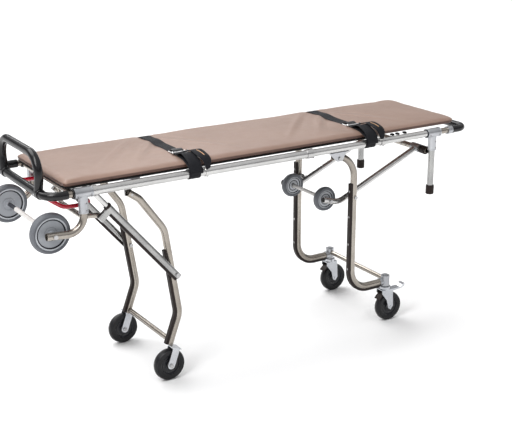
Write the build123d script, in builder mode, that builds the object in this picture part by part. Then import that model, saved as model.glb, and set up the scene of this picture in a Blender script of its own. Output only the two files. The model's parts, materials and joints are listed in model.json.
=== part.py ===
"""Folding stretcher trolley: tube bed frame on two folding leg frames.

Frame: millimetres, Z up, floor at Z = 0, +X towards the foot end (post feet and
plain pull-out handle), -X towards the load end (load wheels and loop handle).
The near side is -Y.
"""
import math
import os

from build123d import *

os.makedirs("parts", exist_ok=True)

SIDES = (("near", -1), ("far", 1))
FIT = 0.05

# bed rails
RAIL_Y = 240
RAIL_Z = 820
RAIL_OD = 32
RAIL_BORE = 28.1
INNER_RAIL_OD = 28
INNER_RAIL_BORE = 24.6
RAIL_START = -786
RAIL_COLLAR_X = 157
INNER_RAIL_START = 40
INNER_RAIL_END = 812

# corner tees
LOAD_TEE_X = -799
FOOT_TEE_X = 790
TEE_LENGTH = 66
TEE_OD = 38
STEM_OD = 35
STEM_END_Z = 746

# load end handle
HANDLE_OD = 31
HANDLE_X = -931
HANDLE_BEND = 55
LOOP_OD = 32
LOOP_HALF_WIDTH = 174
LOOP_TOP_Z = 955
LOOP_BEND = 72

# foot end pull-out handle
FOOT_HANDLE_X = 973
FOOT_HANDLE_BEND = 42
FOOT_HANDLE_OD = 30
FOOT_HANDLE_TUBE_OD = 24.4

# load wheels
LOAD_AXLE_X = -913
LOAD_AXLE_Z = 681
LOAD_WHEEL_R = 75
LOAD_WHEEL_WIDTH = 36
LOAD_WHEEL_Y = 204
LOAD_ARM_OD = 28

# front leg frame
LEG_OD = 28
LEG_BORE = 24
FRONT_LEG_Y = 182
FRONT_PIVOT = (-588, 764)
FRONT_LEG_PATH = ((-599, 772), (-556, 742), (-456, 605), (-402, 258), (-447, 135))
FRONT_LEG_BENDS = (60, 95, 85)
FRONT_STRIP_START = (-443.6, 525)
FRONT_FORK_LEAN = 20
FRONT_AXLE_X = -461
FRONT_PLATE_Y = 158.5
FRONT_PLATE_TOP = 837.5
FRONT_PLATE_REACH = 227.5
CASTER_R = 63.5
CASTER_WIDTH = 32
CASTER_Y = 202

# telescoping struts
STRUT_Y = 210
STRUT_TOP = (-753, 812)
STRUT_FOOT = (-427, 430)
STRUT_OUTER_OD = 26
STRUT_OUTER_BORE = 23.8
STRUT_INNER_OD = 20
STRUT_COLLAR_START = 88
STRUT_INNER_LENGTH = 300
YOKE_OFFSET = 42
YOKE_BOW = 77
YOKE_LUG = 20

# rear leg frame
REAR_LEG_Y = 198
REAR_PIVOT = (316, 775)
REAR_LEG_X = 414
REAR_LEG_TOP_Z = 775
REAR_LEG_LOW_Z = 180
REAR_LEG_START_X = 304
REAR_LEG_END_X = 576
REAR_CLAMP_X = 596
REAR_AXLE_X = 615
LATCH_Z = 590
PEDAL_PIVOT = (619, 138)

# pusher arms with the small wheels
ARM_Y = 150
ARM_OD = 25
ARM_PIVOT = (782, 738)
ARM_PATH = ((774, 734.6), (374, 561), (297, 583))
ARM_BEND = 85
SMALL_AXLE = (326, 575)
SMALL_WHEEL_R = 51
SMALL_WHEEL_WIDTH = 26
SMALL_WHEEL_Y = 117

# red release lever
LEVER_Y = 200
LEVER_PIVOT = (LOAD_TEE_X, 765)

# foot end posts
POST_OD = 27
POST_BOTTOM_Z = 553
FOOT_TOP_Z = 592

# bed panel and mattress
PANEL_BOTTOM_Z = 838
PANEL_TOP_Z = 842
MATTRESS_TOP_Z = 866
STRAP_WIDTH = 50
STRAP_X = {"load": -341, "foot": 472}


def side_plane(side, distance):
    """Upright plane at the given distance to one side, with X and Z in the plane."""
    return Plane.XZ.offset(-side * distance)


def upright(x, y, z):
    """Plane facing the near side, with X and Z as its own directions."""
    return Plane(origin=(x, y, z), x_dir=(1, 0, 0), z_dir=(0, -1, 0))


def save(name, builder):
    builder.part.label = name
    export_step(builder.part, f"parts/{name}.step")


def bent_tube(plane, points, bends, outer, bore):
    """Round tube along a filleted line drawn in a plane."""
    with BuildPart() as tube:
        with BuildLine(plane) as path:
            FilletPolyline(*points, radius=bends)
        with BuildSketch(Plane(origin=path.line @ 0, z_dir=path.line % 0)):
            Circle(outer / 2)
            if bore:
                Circle(bore / 2, mode=Mode.SUBTRACT)
        sweep()
    return tube


def round_bar(start, direction, length, outer, bore=0):
    """Straight round bar or tube from a start point along a direction."""
    with BuildPart() as bar:
        with BuildSketch(Plane(origin=start, z_dir=direction)):
            Circle(outer / 2)
            if bore:
                Circle(bore / 2, mode=Mode.SUBTRACT)
        extrude(amount=length)
    return bar


def guard_strip(plane, points, bends, tube_od):
    """Rubber strip that hugs the load-side face of a leg tube."""
    with BuildPart() as strip:
        with BuildLine(plane) as path:
            FilletPolyline(*points, radius=bends)
        with BuildSketch(Plane(origin=path.line @ 0, x_dir=(0, 1, 0), z_dir=path.line % 0)):
            with Locations((0, -tube_od / 2)):
                RectangleRounded(20, 15, 3)
            Circle(tube_od / 2 + FIT, mode=Mode.SUBTRACT)
            with Locations((0, tube_od / 4)):
                Rectangle(30, tube_od / 2 + tube_od / 2, mode=Mode.SUBTRACT)
        sweep()
    return strip


def wheel_profile(radius, width, hub_radius, rounding):
    """Half section of a tyre in the plane that holds the wheel axis."""
    with BuildSketch(Plane.XY) as profile:
        with Locations(((radius + hub_radius) / 2, 0)):
            Rectangle(radius - hub_radius, width)
        fillet(profile.vertices().group_by(Axis.X)[-1], rounding)
    return profile


def wheel(x, y, z, radius, width, hub_radius, rounding, bore):
    """Tyre and hub on a Y axle, as one group."""
    spin = Plane(origin=(x, y, z), x_dir=(1, 0, 0), z_dir=(0, 0, 1))
    section = wheel_profile(radius, width, hub_radius + FIT, rounding)
    axis = Axis((x, y, z), (0, 1, 0))
    with BuildPart() as tyre:
        with BuildSketch(spin):
            add(section.sketch)
        revolve(axis=axis)
    with BuildPart() as hub:
        with BuildSketch(spin):
            with Locations((hub_radius / 2 + bore / 4, 0)):
                Rectangle(hub_radius - bore / 2, width * 0.5)
            with Locations((hub_radius - 4, 0)):
                Rectangle(8, width * 0.72)
            with Locations((bore / 4 + 5.5, 0)):
                Rectangle(11 - bore / 2, width + 2)
        revolve(axis=axis)
    return tyre, hub


# ---------------------------------------------------------------- bed rails
for name, side in SIDES:
    y = side * RAIL_Y
    with BuildPart() as rail:
        with BuildSketch(Plane(origin=(RAIL_START, y, RAIL_Z), z_dir=(1, 0, 0))):
            Circle(RAIL_OD / 2)
            Circle(RAIL_BORE / 2, mode=Mode.SUBTRACT)
        extrude(amount=RAIL_COLLAR_X - RAIL_START)
        for collar_x, collar_length in ((-766, 19), (-314, 14), (RAIL_COLLAR_X - 14, 30)):
            with BuildSketch(Plane(origin=(collar_x, y, RAIL_Z), z_dir=(1, 0, 0))):
                Circle(RAIL_OD / 2 + 3)
                Circle(RAIL_BORE / 2, mode=Mode.SUBTRACT)
            extrude(amount=collar_length)
    with BuildPart() as inner_rail:
        with BuildSketch(Plane(origin=(INNER_RAIL_START, y, RAIL_Z), z_dir=(1, 0, 0))):
            Circle(INNER_RAIL_OD / 2)
            Circle(INNER_RAIL_BORE / 2, mode=Mode.SUBTRACT)
        extrude(amount=INNER_RAIL_END - INNER_RAIL_START)
        with BuildSketch(Plane(origin=(509, y, RAIL_Z), z_dir=(1, 0, 0))):
            Circle(INNER_RAIL_OD / 2 + 4)
            Circle(INNER_RAIL_BORE / 2, mode=Mode.SUBTRACT)
        extrude(amount=20)
    with BuildPart() as rail_pair:
        add(rail.part)
        add(inner_rail.part)
    save(f"side_rail_{name}", rail_pair)

# ---------------------------------------------------------------- corner tees
for end, tee_x, bore in (("load", LOAD_TEE_X, RAIL_OD), ("foot", FOOT_TEE_X, INNER_RAIL_OD)):
    with BuildPart() as tees:
        for name, side in SIDES:
            y = side * RAIL_Y
            start_x = tee_x - TEE_LENGTH / 2
            with BuildSketch(Plane(origin=(start_x, y, RAIL_Z), z_dir=(1, 0, 0))):
                Circle(TEE_OD / 2)
            extrude(amount=TEE_LENGTH)
            with BuildSketch(Plane(origin=(tee_x, y, RAIL_Z), z_dir=(0, 0, -1))):
                Circle(STEM_OD / 2)
            extrude(amount=RAIL_Z - STEM_END_Z)
            with BuildSketch(Plane(origin=(start_x, y, RAIL_Z), z_dir=(1, 0, 0))):
                Circle(bore / 2 + FIT)
            extrude(amount=TEE_LENGTH, mode=Mode.SUBTRACT)
            stem_bore = LOAD_ARM_OD if end == "load" else POST_OD
            with BuildSketch(Plane(origin=(tee_x, y, STEM_END_Z), z_dir=(0, 0, 1))):
                Circle(stem_bore / 2 + FIT)
            extrude(amount=RAIL_Z - STEM_END_Z - TEE_OD / 2 - 2, mode=Mode.SUBTRACT)
    save(f"{end}_end_tees", tees)

# ---------------------------------------------------------------- load end handle
grip_end_x = -855
with BuildPart() as load_handle:
    with BuildLine(Plane.XY.offset(RAIL_Z)) as path:
        FilletPolyline((grip_end_x, -RAIL_Y), (HANDLE_X, -RAIL_Y), (HANDLE_X, RAIL_Y),
                       (grip_end_x, RAIL_Y), radius=HANDLE_BEND)
    with BuildSketch(Plane(origin=path.line @ 0, z_dir=path.line % 0)):
        Circle(HANDLE_OD / 2)
        Circle(FOOT_HANDLE_TUBE_OD / 2 + FIT, mode=Mode.SUBTRACT)
    sweep()

with BuildPart() as load_handle_group:
    add(load_handle.part)
    for name, side in SIDES:
        with BuildSketch(Plane(origin=(-873, side * RAIL_Y, RAIL_Z), z_dir=(1, 0, 0))):
            Circle(FOOT_HANDLE_TUBE_OD / 2)
            Circle(FOOT_HANDLE_TUBE_OD / 2 - 2, mode=Mode.SUBTRACT)
        extrude(amount=60)
save("load_handle_bar", load_handle_group)

loop_foot_z = RAIL_Z + 2
with BuildPart() as loop:
    with BuildLine(Plane.YZ.offset(HANDLE_X)) as path:
        FilletPolyline((-LOOP_HALF_WIDTH + 8, loop_foot_z), (-LOOP_HALF_WIDTH - 4, 880),
                       (-LOOP_HALF_WIDTH + 4, LOOP_TOP_Z), (LOOP_HALF_WIDTH - 4, LOOP_TOP_Z),
                       (LOOP_HALF_WIDTH + 4, 880), (LOOP_HALF_WIDTH - 8, loop_foot_z),
                       radius=(60, LOOP_BEND, LOOP_BEND, 60))
    with BuildSketch(Plane(origin=path.line @ 0, z_dir=path.line % 0)):
        Circle(LOOP_OD / 2)
    sweep()
    with BuildSketch(Plane(origin=(HANDLE_X, -RAIL_Y, RAIL_Z), z_dir=(0, 1, 0))):
        Circle(HANDLE_OD / 2 + FIT)
    extrude(amount=2 * RAIL_Y, mode=Mode.SUBTRACT)
save("load_handle_loop", loop)

# ---------------------------------------------------------------- load wheels
for name, side in SIDES:
    arm = bent_tube(side_plane(side, RAIL_Y), ((LOAD_TEE_X, 790), (LOAD_TEE_X, 674), (-941, 682)),
                    (62,), LOAD_ARM_OD, LEG_BORE)
    with BuildPart() as arm_bored:
        add(arm.part)
        with BuildSketch(Plane(origin=(LOAD_AXLE_X, side * 200, LOAD_AXLE_Z), z_dir=(0, side, 0))):
            Circle(5 + FIT)
        extrude(amount=80, mode=Mode.SUBTRACT)
    save(f"load_arm_{name}", arm_bored)

with BuildPart() as load_axle:
    with BuildSketch(Plane(origin=(LOAD_AXLE_X, -RAIL_Y - 17, LOAD_AXLE_Z), z_dir=(0, 1, 0))):
        Circle(5)
    extrude(amount=2 * RAIL_Y + 34)
    for side in (-1, 1):
        start = side * (RAIL_Y + LOAD_ARM_OD / 2 + 0.3)
        with BuildSketch(Plane(origin=(LOAD_AXLE_X, start, LOAD_AXLE_Z), z_dir=(0, side, 0))):
            RegularPolygon(8.5, 6)
        extrude(amount=6)
save("load_axle", load_axle)

sleeve_half = 118
wheel_inner_face = LOAD_WHEEL_Y - LOAD_WHEEL_WIDTH / 2 - 1
sleeve = round_bar((LOAD_AXLE_X, -sleeve_half, LOAD_AXLE_Z), (0, 1, 0), 2 * sleeve_half, 18, 10 + 2 * FIT)

with BuildPart() as spacers:
    add(sleeve.part)
    for side in (-1, 1):
        start = side * (sleeve_half + FIT)
        with BuildSketch(Plane(origin=(LOAD_AXLE_X, start, LOAD_AXLE_Z), z_dir=(0, side, 0))):
            Circle(7.5)
            Circle(5 + FIT, mode=Mode.SUBTRACT)
        extrude(amount=wheel_inner_face - sleeve_half - 0.6)
        outer = side * (LOAD_WHEEL_Y + LOAD_WHEEL_WIDTH / 2 + 1.5)
        with BuildSketch(Plane(origin=(LOAD_AXLE_X, outer, LOAD_AXLE_Z), z_dir=(0, side, 0))):
            Circle(8)
            Circle(5 + FIT, mode=Mode.SUBTRACT)
        extrude(amount=2)
save("load_axle_sleeves", spacers)

for name, side in SIDES:
    tyre, hub = wheel(LOAD_AXLE_X, side * LOAD_WHEEL_Y, LOAD_AXLE_Z, LOAD_WHEEL_R,
                      LOAD_WHEEL_WIDTH, 60, 9, 10 + 2 * FIT)
    with BuildPart() as load_wheel:
        add(tyre.part)
        add(hub.part)
    save(f"load_wheel_{name}", load_wheel)

# ---------------------------------------------------------------- cross tubes of the bed
with BuildPart() as end_tube:
    with BuildSketch(Plane(origin=(-826, -RAIL_Y + 20, 814), z_dir=(0, 1, 0))):
        Circle(11)
        Circle(9, mode=Mode.SUBTRACT)
    extrude(amount=2 * RAIL_Y - 40)
    for side in (-1, 1):
        with Locations((-819, side * (RAIL_Y - 19.5), 814)):
            Box(18, 1, 20)
save("load_end_tube", end_tube)

strut_tube_length = 2 * (RAIL_Y - RAIL_OD / 2) - 7
strut_tube = round_bar((STRUT_TOP[0], -strut_tube_length / 2, STRUT_TOP[1]), (0, 1, 0),
                       strut_tube_length, 12)
save("strut_tube", strut_tube)

post_inner_face = RAIL_Y - STEM_OD / 2
arm_tube = round_bar((ARM_PIVOT[0], -post_inner_face + 1, ARM_PIVOT[1]), (0, 1, 0),
                     2 * post_inner_face - 2, 24, 20)
save("foot_cross_tube", arm_tube)

# ---------------------------------------------------------------- posts with rubber feet
with BuildPart() as posts:
    for name, side in SIDES:
        with BuildSketch(Plane(origin=(FOOT_TEE_X, side * RAIL_Y, POST_BOTTOM_Z + 6), z_dir=(0, 0, 1))):
            Circle(POST_OD / 2)
            Circle(POST_OD / 2 - 2, mode=Mode.SUBTRACT)
        extrude(amount=RAIL_Z - TEE_OD / 2 - 12 - POST_BOTTOM_Z)
save("posts", posts)

with BuildPart() as post_feet:
    for side in (-1, 1):
        with BuildSketch(Plane(origin=(FOOT_TEE_X, side * RAIL_Y, POST_BOTTOM_Z), z_dir=(0, 0, 1))):
            Circle(17.5)
        extrude(amount=FOOT_TOP_Z - POST_BOTTOM_Z)
        with BuildSketch(Plane(origin=(FOOT_TEE_X, side * RAIL_Y, FOOT_TOP_Z), z_dir=(0, 0, -1))):
            Circle(POST_OD / 2 + FIT)
        extrude(amount=FOOT_TOP_Z - POST_BOTTOM_Z - 5.9, mode=Mode.SUBTRACT)
    rims = post_feet.edges().filter_by(GeomType.CIRCLE).group_by(Axis.Z)[0]
    fillet(rims, 2)
save("post_feet", post_feet)

# ---------------------------------------------------------------- foot end pull-out handle
collar_start = 868
with BuildPart() as foot_handle:
    with BuildLine(Plane.XY.offset(RAIL_Z)) as path:
        FilletPolyline((892, -RAIL_Y), (FOOT_HANDLE_X, -RAIL_Y), (FOOT_HANDLE_X, RAIL_Y),
                       (892, RAIL_Y), radius=FOOT_HANDLE_BEND)
    with BuildSketch(Plane(origin=path.line @ 0, z_dir=path.line % 0)):
        Circle(FOOT_HANDLE_OD / 2)
        Circle(FOOT_HANDLE_TUBE_OD / 2 + FIT, mode=Mode.SUBTRACT)
    sweep()
save("foot_handle_bar", foot_handle)

with BuildPart() as foot_tubes:
    for side in (-1, 1):
        with BuildSketch(Plane(origin=(660, side * RAIL_Y, RAIL_Z), z_dir=(1, 0, 0))):
            Circle(FOOT_HANDLE_TUBE_OD / 2)
            Circle(FOOT_HANDLE_TUBE_OD / 2 - 2, mode=Mode.SUBTRACT)
        extrude(amount=262)
        with BuildSketch(Plane(origin=(collar_start, side * RAIL_Y, RAIL_Z), z_dir=(1, 0, 0))):
            Circle(17)
            Circle(FOOT_HANDLE_TUBE_OD / 2 - 2, mode=Mode.SUBTRACT)
        extrude(amount=23.5)
save("foot_handle_tubes", foot_tubes)

# ---------------------------------------------------------------- bed panel and mattress
with BuildPart() as panel:
    with BuildSketch(Plane.XY.offset(PANEL_BOTTOM_Z)):
        with Locations((-170, 0)):
            RectangleRounded(1380, 462, 30)
    extrude(amount=PANEL_TOP_Z - PANEL_BOTTOM_Z)
save("bed_panel", panel)

with BuildPart() as tabs:
    for side in (-1, 1):
        for tab_x in (580, 607, 645):
            with Locations((tab_x, side * 231, 838)):
                Box(12, 14, 7)
save("mattress_tabs", tabs)

with BuildPart() as mattress:
    with BuildSketch(Plane.XY.offset(PANEL_TOP_Z + 0.2)):
        with Locations((24, -2)):
            RectangleRounded(1790, 474, 28)
    extrude(amount=MATTRESS_TOP_Z - PANEL_TOP_Z - 0.2)
    fillet(mattress.edges().group_by(Axis.Z)[-1], 8)
save("mattress", mattress)

strap_bottom = MATTRESS_TOP_Z + 0.2
for end, strap_x in STRAP_X.items():
    rail_r = (RAIL_OD if end == "load" else INNER_RAIL_OD) / 2
    with BuildPart() as strap:
        drop_y = RAIL_Y + rail_r + 1.9
        with Locations((strap_x, 0, strap_bottom + 1.5)):
            Box(STRAP_WIDTH, 2 * drop_y + 3.2, 3)
        for side in (-1, 1):
            drop = strap_bottom + 3 - RAIL_Z
            with Locations((strap_x, side * drop_y, RAIL_Z + drop / 2)):
                Box(STRAP_WIDTH, 3.2, drop)
            with BuildSketch(Plane(origin=(strap_x - STRAP_WIDTH / 2, side * RAIL_Y, RAIL_Z),
                                   z_dir=(1, 0, 0))):
                Circle(rail_r + 3.5)
                Circle(rail_r + 0.3, mode=Mode.SUBTRACT)
            extrude(amount=STRAP_WIDTH)
    save(f"strap_{end}_end", strap)

with BuildPart() as buckles:
    for end, strap_x in STRAP_X.items():
        with Locations((strap_x, -100, strap_bottom + 3.2 + 5)):
            Box(58, 62, 10)
            Cylinder(4, 66, rotation=(90, 0, 0), mode=Mode.SUBTRACT)
    fillet(buckles.edges().filter_by(Axis.Z), 4)
save("strap_buckles", buckles)

# ---------------------------------------------------------------- leg brackets on the rails
with BuildPart() as brackets:
    pivot_x, pivot_z = REAR_PIVOT
    rail_bottom = RAIL_Z - INNER_RAIL_OD / 2
    for side in (-1, 1):
        with BuildSketch(side_plane(side, 229)):
            with BuildLine():
                Polyline((pivot_x - 58, rail_bottom - 1), (pivot_x + 34, rail_bottom - 1),
                         (pivot_x + 13, pivot_z - 12), (pivot_x - 13, pivot_z - 12),
                         close=True)
            make_face()
            with Locations(REAR_PIVOT):
                Circle(5 + FIT, mode=Mode.SUBTRACT)
        extrude(amount=2, both=True)
        with BuildSketch(Plane(origin=(pivot_x - 12, side * 238, rail_bottom - 2.2))):
            Rectangle(92, 20)
        extrude(amount=2)
    # the front ones hang inboard of the legs, so that the struts can swing past their pins
    pivot_x, pivot_z = FRONT_PIVOT
    for side in (-1, 1):
        with BuildSketch(side_plane(side, FRONT_PLATE_Y)):
            with BuildLine():
                Polyline((pivot_x - 18, FRONT_PLATE_TOP), (pivot_x + 18, FRONT_PLATE_TOP),
                         (pivot_x + 13, pivot_z - 12), (pivot_x - 13, pivot_z - 12),
                         close=True)
            make_face()
            with Locations(FRONT_PIVOT):
                Circle(5 + FIT, mode=Mode.SUBTRACT)
        extrude(amount=2.5, both=True)
        arm_y = (FRONT_PLATE_Y + FRONT_PLATE_REACH) / 2
        with BuildSketch(Plane(origin=(pivot_x, side * arm_y, FRONT_PLATE_TOP - 6.5))):
            Rectangle(36, FRONT_PLATE_REACH - FRONT_PLATE_Y)
        extrude(amount=6.5)
save("leg_brackets", brackets)

with BuildPart() as pivot_pins:
    for side in (-1, 1):
        with BuildSketch(Plane(origin=(LEVER_PIVOT[0], side * (LEVER_Y - 10), LEVER_PIVOT[1]),
                               z_dir=(0, side, 0))):
            Circle(4)
        extrude(amount=RAIL_Y - STEM_OD / 2 - 0.3 - LEVER_Y + 10)
        pin_starts = ((FRONT_PIVOT, FRONT_PLATE_Y - 3, FRONT_LEG_Y + LEG_OD / 2 - 0.6, -1),
                      (REAR_PIVOT, REAR_LEG_Y - 18, 231.5, 1))
        for (pivot_x, pivot_z), pin_in, pin_out, head_side in pin_starts:
            with BuildSketch(Plane(origin=(pivot_x, side * pin_in, pivot_z), z_dir=(0, side, 0))):
                Circle(5)
            extrude(amount=pin_out - pin_in)
            head_y = pin_in + 0.2 if head_side < 0 else pin_out - 0.2
            with BuildSketch(Plane(origin=(pivot_x, side * head_y, pivot_z),
                                   z_dir=(0, head_side * side, 0))):
                RegularPolygon(8, 6)
            extrude(amount=5)
save("pivot_pins", pivot_pins)

# ---------------------------------------------------------------- front leg frame
fork_lean = math.radians(FRONT_FORK_LEAN)
fork_top = 71.8
for name, side in SIDES:
    leg = bent_tube(side_plane(side, FRONT_LEG_Y), FRONT_LEG_PATH, FRONT_LEG_BENDS, LEG_OD, LEG_BORE)
    with BuildPart() as front_leg:
        add(leg.part)
        for hole_x, hole_z, hole_r in (FRONT_PIVOT + (5 + FIT,), STRUT_FOOT + (5,)):
            with BuildSketch(Plane(origin=(hole_x, side * (FRONT_LEG_Y - 30), hole_z),
                                   z_dir=(0, side, 0))):
                Circle(hole_r)
            extrude(amount=60, mode=Mode.SUBTRACT)
    save(f"front_leg_{name}", front_leg)

front_cross = round_bar((-441, -FRONT_LEG_Y + LEG_OD / 2 + 0.5, 148), (0, 1, 0),
                        2 * FRONT_LEG_Y - LEG_OD - 1, 21, 17)
save("front_leg_cross_tube", front_cross)

front_strip_parts = [guard_strip(side_plane(side, FRONT_LEG_Y),
                                 (FRONT_STRIP_START,) + FRONT_LEG_PATH[3:], FRONT_LEG_BENDS[2:], LEG_OD)
                     for name, side in SIDES]
with BuildPart() as front_strips:
    for strip in front_strip_parts:
        add(strip.part)
save("front_strips", front_strips)

for name, side in SIDES:
    y = side * CASTER_Y
    axle = (FRONT_AXLE_X, y, CASTER_R)
    fork_plane = Plane(origin=axle, x_dir=(math.cos(fork_lean), 0, -math.sin(fork_lean)),
                       z_dir=(math.sin(fork_lean), 0, math.cos(fork_lean)))
    with BuildPart() as fork:
        with BuildSketch(fork_plane.offset(fork_top - 3)):
            Rectangle(42, 46)
        extrude(amount=3)
        for plate_side in (-1, 1):
            plate_plane = Plane(origin=(FRONT_AXLE_X, y + plate_side * 20, CASTER_R),
                                x_dir=fork_plane.x_dir, z_dir=(0, -1, 0))
            with BuildSketch(plate_plane):
                with Locations((0, 34)):
                    Rectangle(30, 71)
                Circle(15)
                Circle(5 + FIT, mode=Mode.SUBTRACT)
            extrude(amount=1.5, both=True)
    save(f"front_fork_{name}", fork)
    tyre, hub = wheel(*axle, CASTER_R, CASTER_WIDTH, 44, 8, 10 + 2 * FIT)
    with BuildPart() as front_wheel:
        add(tyre.part)
        add(hub.part)
    save(f"front_wheel_{name}", front_wheel)

with BuildPart() as front_bolts:
    for side in (-1, 1):
        y = side * CASTER_Y
        with BuildSketch(Plane(origin=(FRONT_AXLE_X, y - 24, CASTER_R), z_dir=(0, 1, 0))):
            Circle(5)
        extrude(amount=48)
        for head_side in (-1, 1):
            with BuildSketch(Plane(origin=(FRONT_AXLE_X, y + head_side * 21.7, CASTER_R),
                                   z_dir=(0, head_side, 0))):
                RegularPolygon(8.5, 6)
            extrude(amount=5)
        with BuildSketch(Plane(origin=(STRUT_FOOT[0], side * (FRONT_LEG_Y - 20), STRUT_FOOT[1]),
                               z_dir=(0, side, 0))):
            Circle(4.9)
        extrude(amount=STRUT_Y + 17 - FRONT_LEG_Y + 20)
        for head_y, head_side in ((FRONT_LEG_Y - 14.5, -side), (STRUT_Y + 13.6, side)):
            with BuildSketch(Plane(origin=(STRUT_FOOT[0], side * head_y, STRUT_FOOT[1]),
                                   z_dir=(0, head_side, 0))):
                RegularPolygon(8.5, 6)
            extrude(amount=6)
save("front_leg_bolts", front_bolts)

# ---------------------------------------------------------------- telescoping struts
strut_length = math.dist(STRUT_TOP, STRUT_FOOT)
strut_dir = ((STRUT_FOOT[0] - STRUT_TOP[0]) / strut_length, (STRUT_FOOT[1] - STRUT_TOP[1]) / strut_length)


def strut_point(distance):
    return (STRUT_TOP[0] + strut_dir[0] * distance, STRUT_TOP[1] + strut_dir[1] * distance)


yoke_root = strut_point(STRUT_COLLAR_START + 16)
for name, side in SIDES:
    along = (strut_dir[0], 0, strut_dir[1])
    y = side * STRUT_Y
    start = strut_point(-12)
    with BuildPart() as inner:
        with BuildSketch(Plane(origin=(start[0], y, start[1]), z_dir=along)):
            Circle(STRUT_INNER_OD / 2)
            Circle(STRUT_INNER_OD / 2 - 2, mode=Mode.SUBTRACT)
        extrude(amount=STRUT_INNER_LENGTH)
        with BuildSketch(Plane(origin=(start[0], y, start[1]), z_dir=along)):
            Circle(STRUT_INNER_OD / 2)
        extrude(amount=26)
        with BuildSketch(Plane(origin=(STRUT_TOP[0], y - 20, STRUT_TOP[1]), z_dir=(0, 1, 0))):
            Circle(6 + FIT)
        extrude(amount=40, mode=Mode.SUBTRACT)
    save(f"strut_inner_{name}", inner)

    collar = strut_point(STRUT_COLLAR_START)
    foot = strut_point(strut_length)
    with BuildPart() as outer:
        with BuildSketch(Plane(origin=(collar[0], y, collar[1]), z_dir=along)):
            Circle(STRUT_OUTER_OD / 2)
        extrude(amount=strut_length - STRUT_COLLAR_START + 16)
        with BuildSketch(Plane(origin=(collar[0], y, collar[1]), z_dir=along)):
            Circle(STRUT_OUTER_OD / 2 + 0.6)
        extrude(amount=30)
        with BuildSketch(Plane(origin=(yoke_root[0], y, yoke_root[1]), x_dir=(0, 1, 0),
                               z_dir=(strut_dir[1], 0, -strut_dir[0]))):
            RectangleRounded(YOKE_LUG, 26, 4)
        extrude(amount=YOKE_OFFSET + 12)
        with BuildSketch(Plane(origin=(collar[0], y, collar[1]), z_dir=along)):
            Circle(STRUT_OUTER_BORE / 2)
        extrude(amount=strut_length - STRUT_COLLAR_START - 18, mode=Mode.SUBTRACT)
        with BuildSketch(Plane(origin=(foot[0], y - 20, foot[1]), z_dir=(0, 1, 0))):
            Circle(5)
        extrude(amount=40, mode=Mode.SUBTRACT)
    save(f"strut_outer_{name}", outer)

strip_start = strut_point(STRUT_COLLAR_START + 32)
strip_end = strut_point(strut_length + 14)
with BuildPart() as strut_strips:
    for side in (-1, 1):
        strip_plane = Plane(origin=(strip_start[0], side * STRUT_Y, strip_start[1]), x_dir=(0, 1, 0),
                            z_dir=(strut_dir[0], 0, strut_dir[1]))
        with BuildSketch(strip_plane):
            with Locations((0, -STRUT_OUTER_OD / 2 - 1)):
                RectangleRounded(16, 12, 2.5)
            Circle(STRUT_OUTER_OD / 2 + FIT, mode=Mode.SUBTRACT)
            Rectangle(30, 14, mode=Mode.SUBTRACT)
        extrude(amount=math.dist(strip_start, strip_end))
save("strut_strips", strut_strips)

yoke_plane = Plane(origin=(yoke_root[0], 0, yoke_root[1]), x_dir=(0, 1, 0),
                   z_dir=(-strut_dir[0], 0, -strut_dir[1]))
yoke_half = STRUT_Y - YOKE_LUG / 2 - FIT
with BuildPart() as yoke:
    with BuildLine(yoke_plane) as path:
        FilletPolyline((-yoke_half, YOKE_OFFSET), (-178, YOKE_OFFSET), (-98, YOKE_BOW), (98, YOKE_BOW),
                       (178, YOKE_OFFSET), (yoke_half, YOKE_OFFSET), radius=(50, 60, 60, 50))
    with BuildSketch(Plane(origin=path.line @ 0, z_dir=path.line % 0)):
        Circle(10)
        Circle(8, mode=Mode.SUBTRACT)
    sweep()
save("strut_yoke", yoke)

# ---------------------------------------------------------------- red release lever
with BuildPart() as lever:
    with BuildLine() as path:
        FilletPolyline((-758, -LEVER_Y, 774), (-802, -LEVER_Y, 763), (-856, -LEVER_Y, 765),
                       (-905, -LEVER_Y, 799), (-905, LEVER_Y, 799), (-856, LEVER_Y, 765),
                       (-802, LEVER_Y, 763), (-758, LEVER_Y, 774),
                       radius=(60, 50, 30, 30, 50, 60))
    with BuildSketch(Plane(origin=path.line @ 0, z_dir=path.line % 0)):
        Circle(7.5)
    sweep()
    for side in (-1, 1):
        with BuildSketch(Plane(origin=(LEVER_PIVOT[0], side * (LEVER_Y - 9), LEVER_PIVOT[1]),
                               z_dir=(0, side, 0))):
            Circle(4 + FIT)
        extrude(amount=18, mode=Mode.SUBTRACT)
save("release_lever", lever)

# ---------------------------------------------------------------- rear leg frame
rear_path = ((REAR_LEG_START_X, REAR_LEG_TOP_Z), (REAR_LEG_X, REAR_LEG_TOP_Z),
             (REAR_LEG_X, REAR_LEG_LOW_Z), (REAR_LEG_END_X, REAR_LEG_LOW_Z))
for name, side in SIDES:
    leg = bent_tube(side_plane(side, REAR_LEG_Y), rear_path, (100, 85), LEG_OD, LEG_BORE)
    with BuildPart() as rear_leg:
        add(leg.part)
        with BuildSketch(Plane(origin=(REAR_PIVOT[0], side * (REAR_LEG_Y - 30), REAR_PIVOT[1]),
                               z_dir=(0, side, 0))):
            Circle(5 + FIT)
        extrude(amount=60, mode=Mode.SUBTRACT)
        with BuildSketch(Plane(origin=(REAR_LEG_X, side * (REAR_LEG_Y - 30), LATCH_Z),
                               z_dir=(0, side, 0))):
            Circle(5)
        extrude(amount=60, mode=Mode.SUBTRACT)
    save(f"rear_leg_{name}", rear_leg)

rear_strip_parts = [guard_strip(side_plane(side, REAR_LEG_Y),
                                ((REAR_LEG_X, 648), (REAR_LEG_X, REAR_LEG_LOW_Z),
                                 (REAR_LEG_END_X - 12, REAR_LEG_LOW_Z)), (85,), LEG_OD)
                    for name, side in SIDES]
with BuildPart() as rear_strips:
    for strip in rear_strip_parts:
        add(strip.part)
save("rear_strips", rear_strips)

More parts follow.
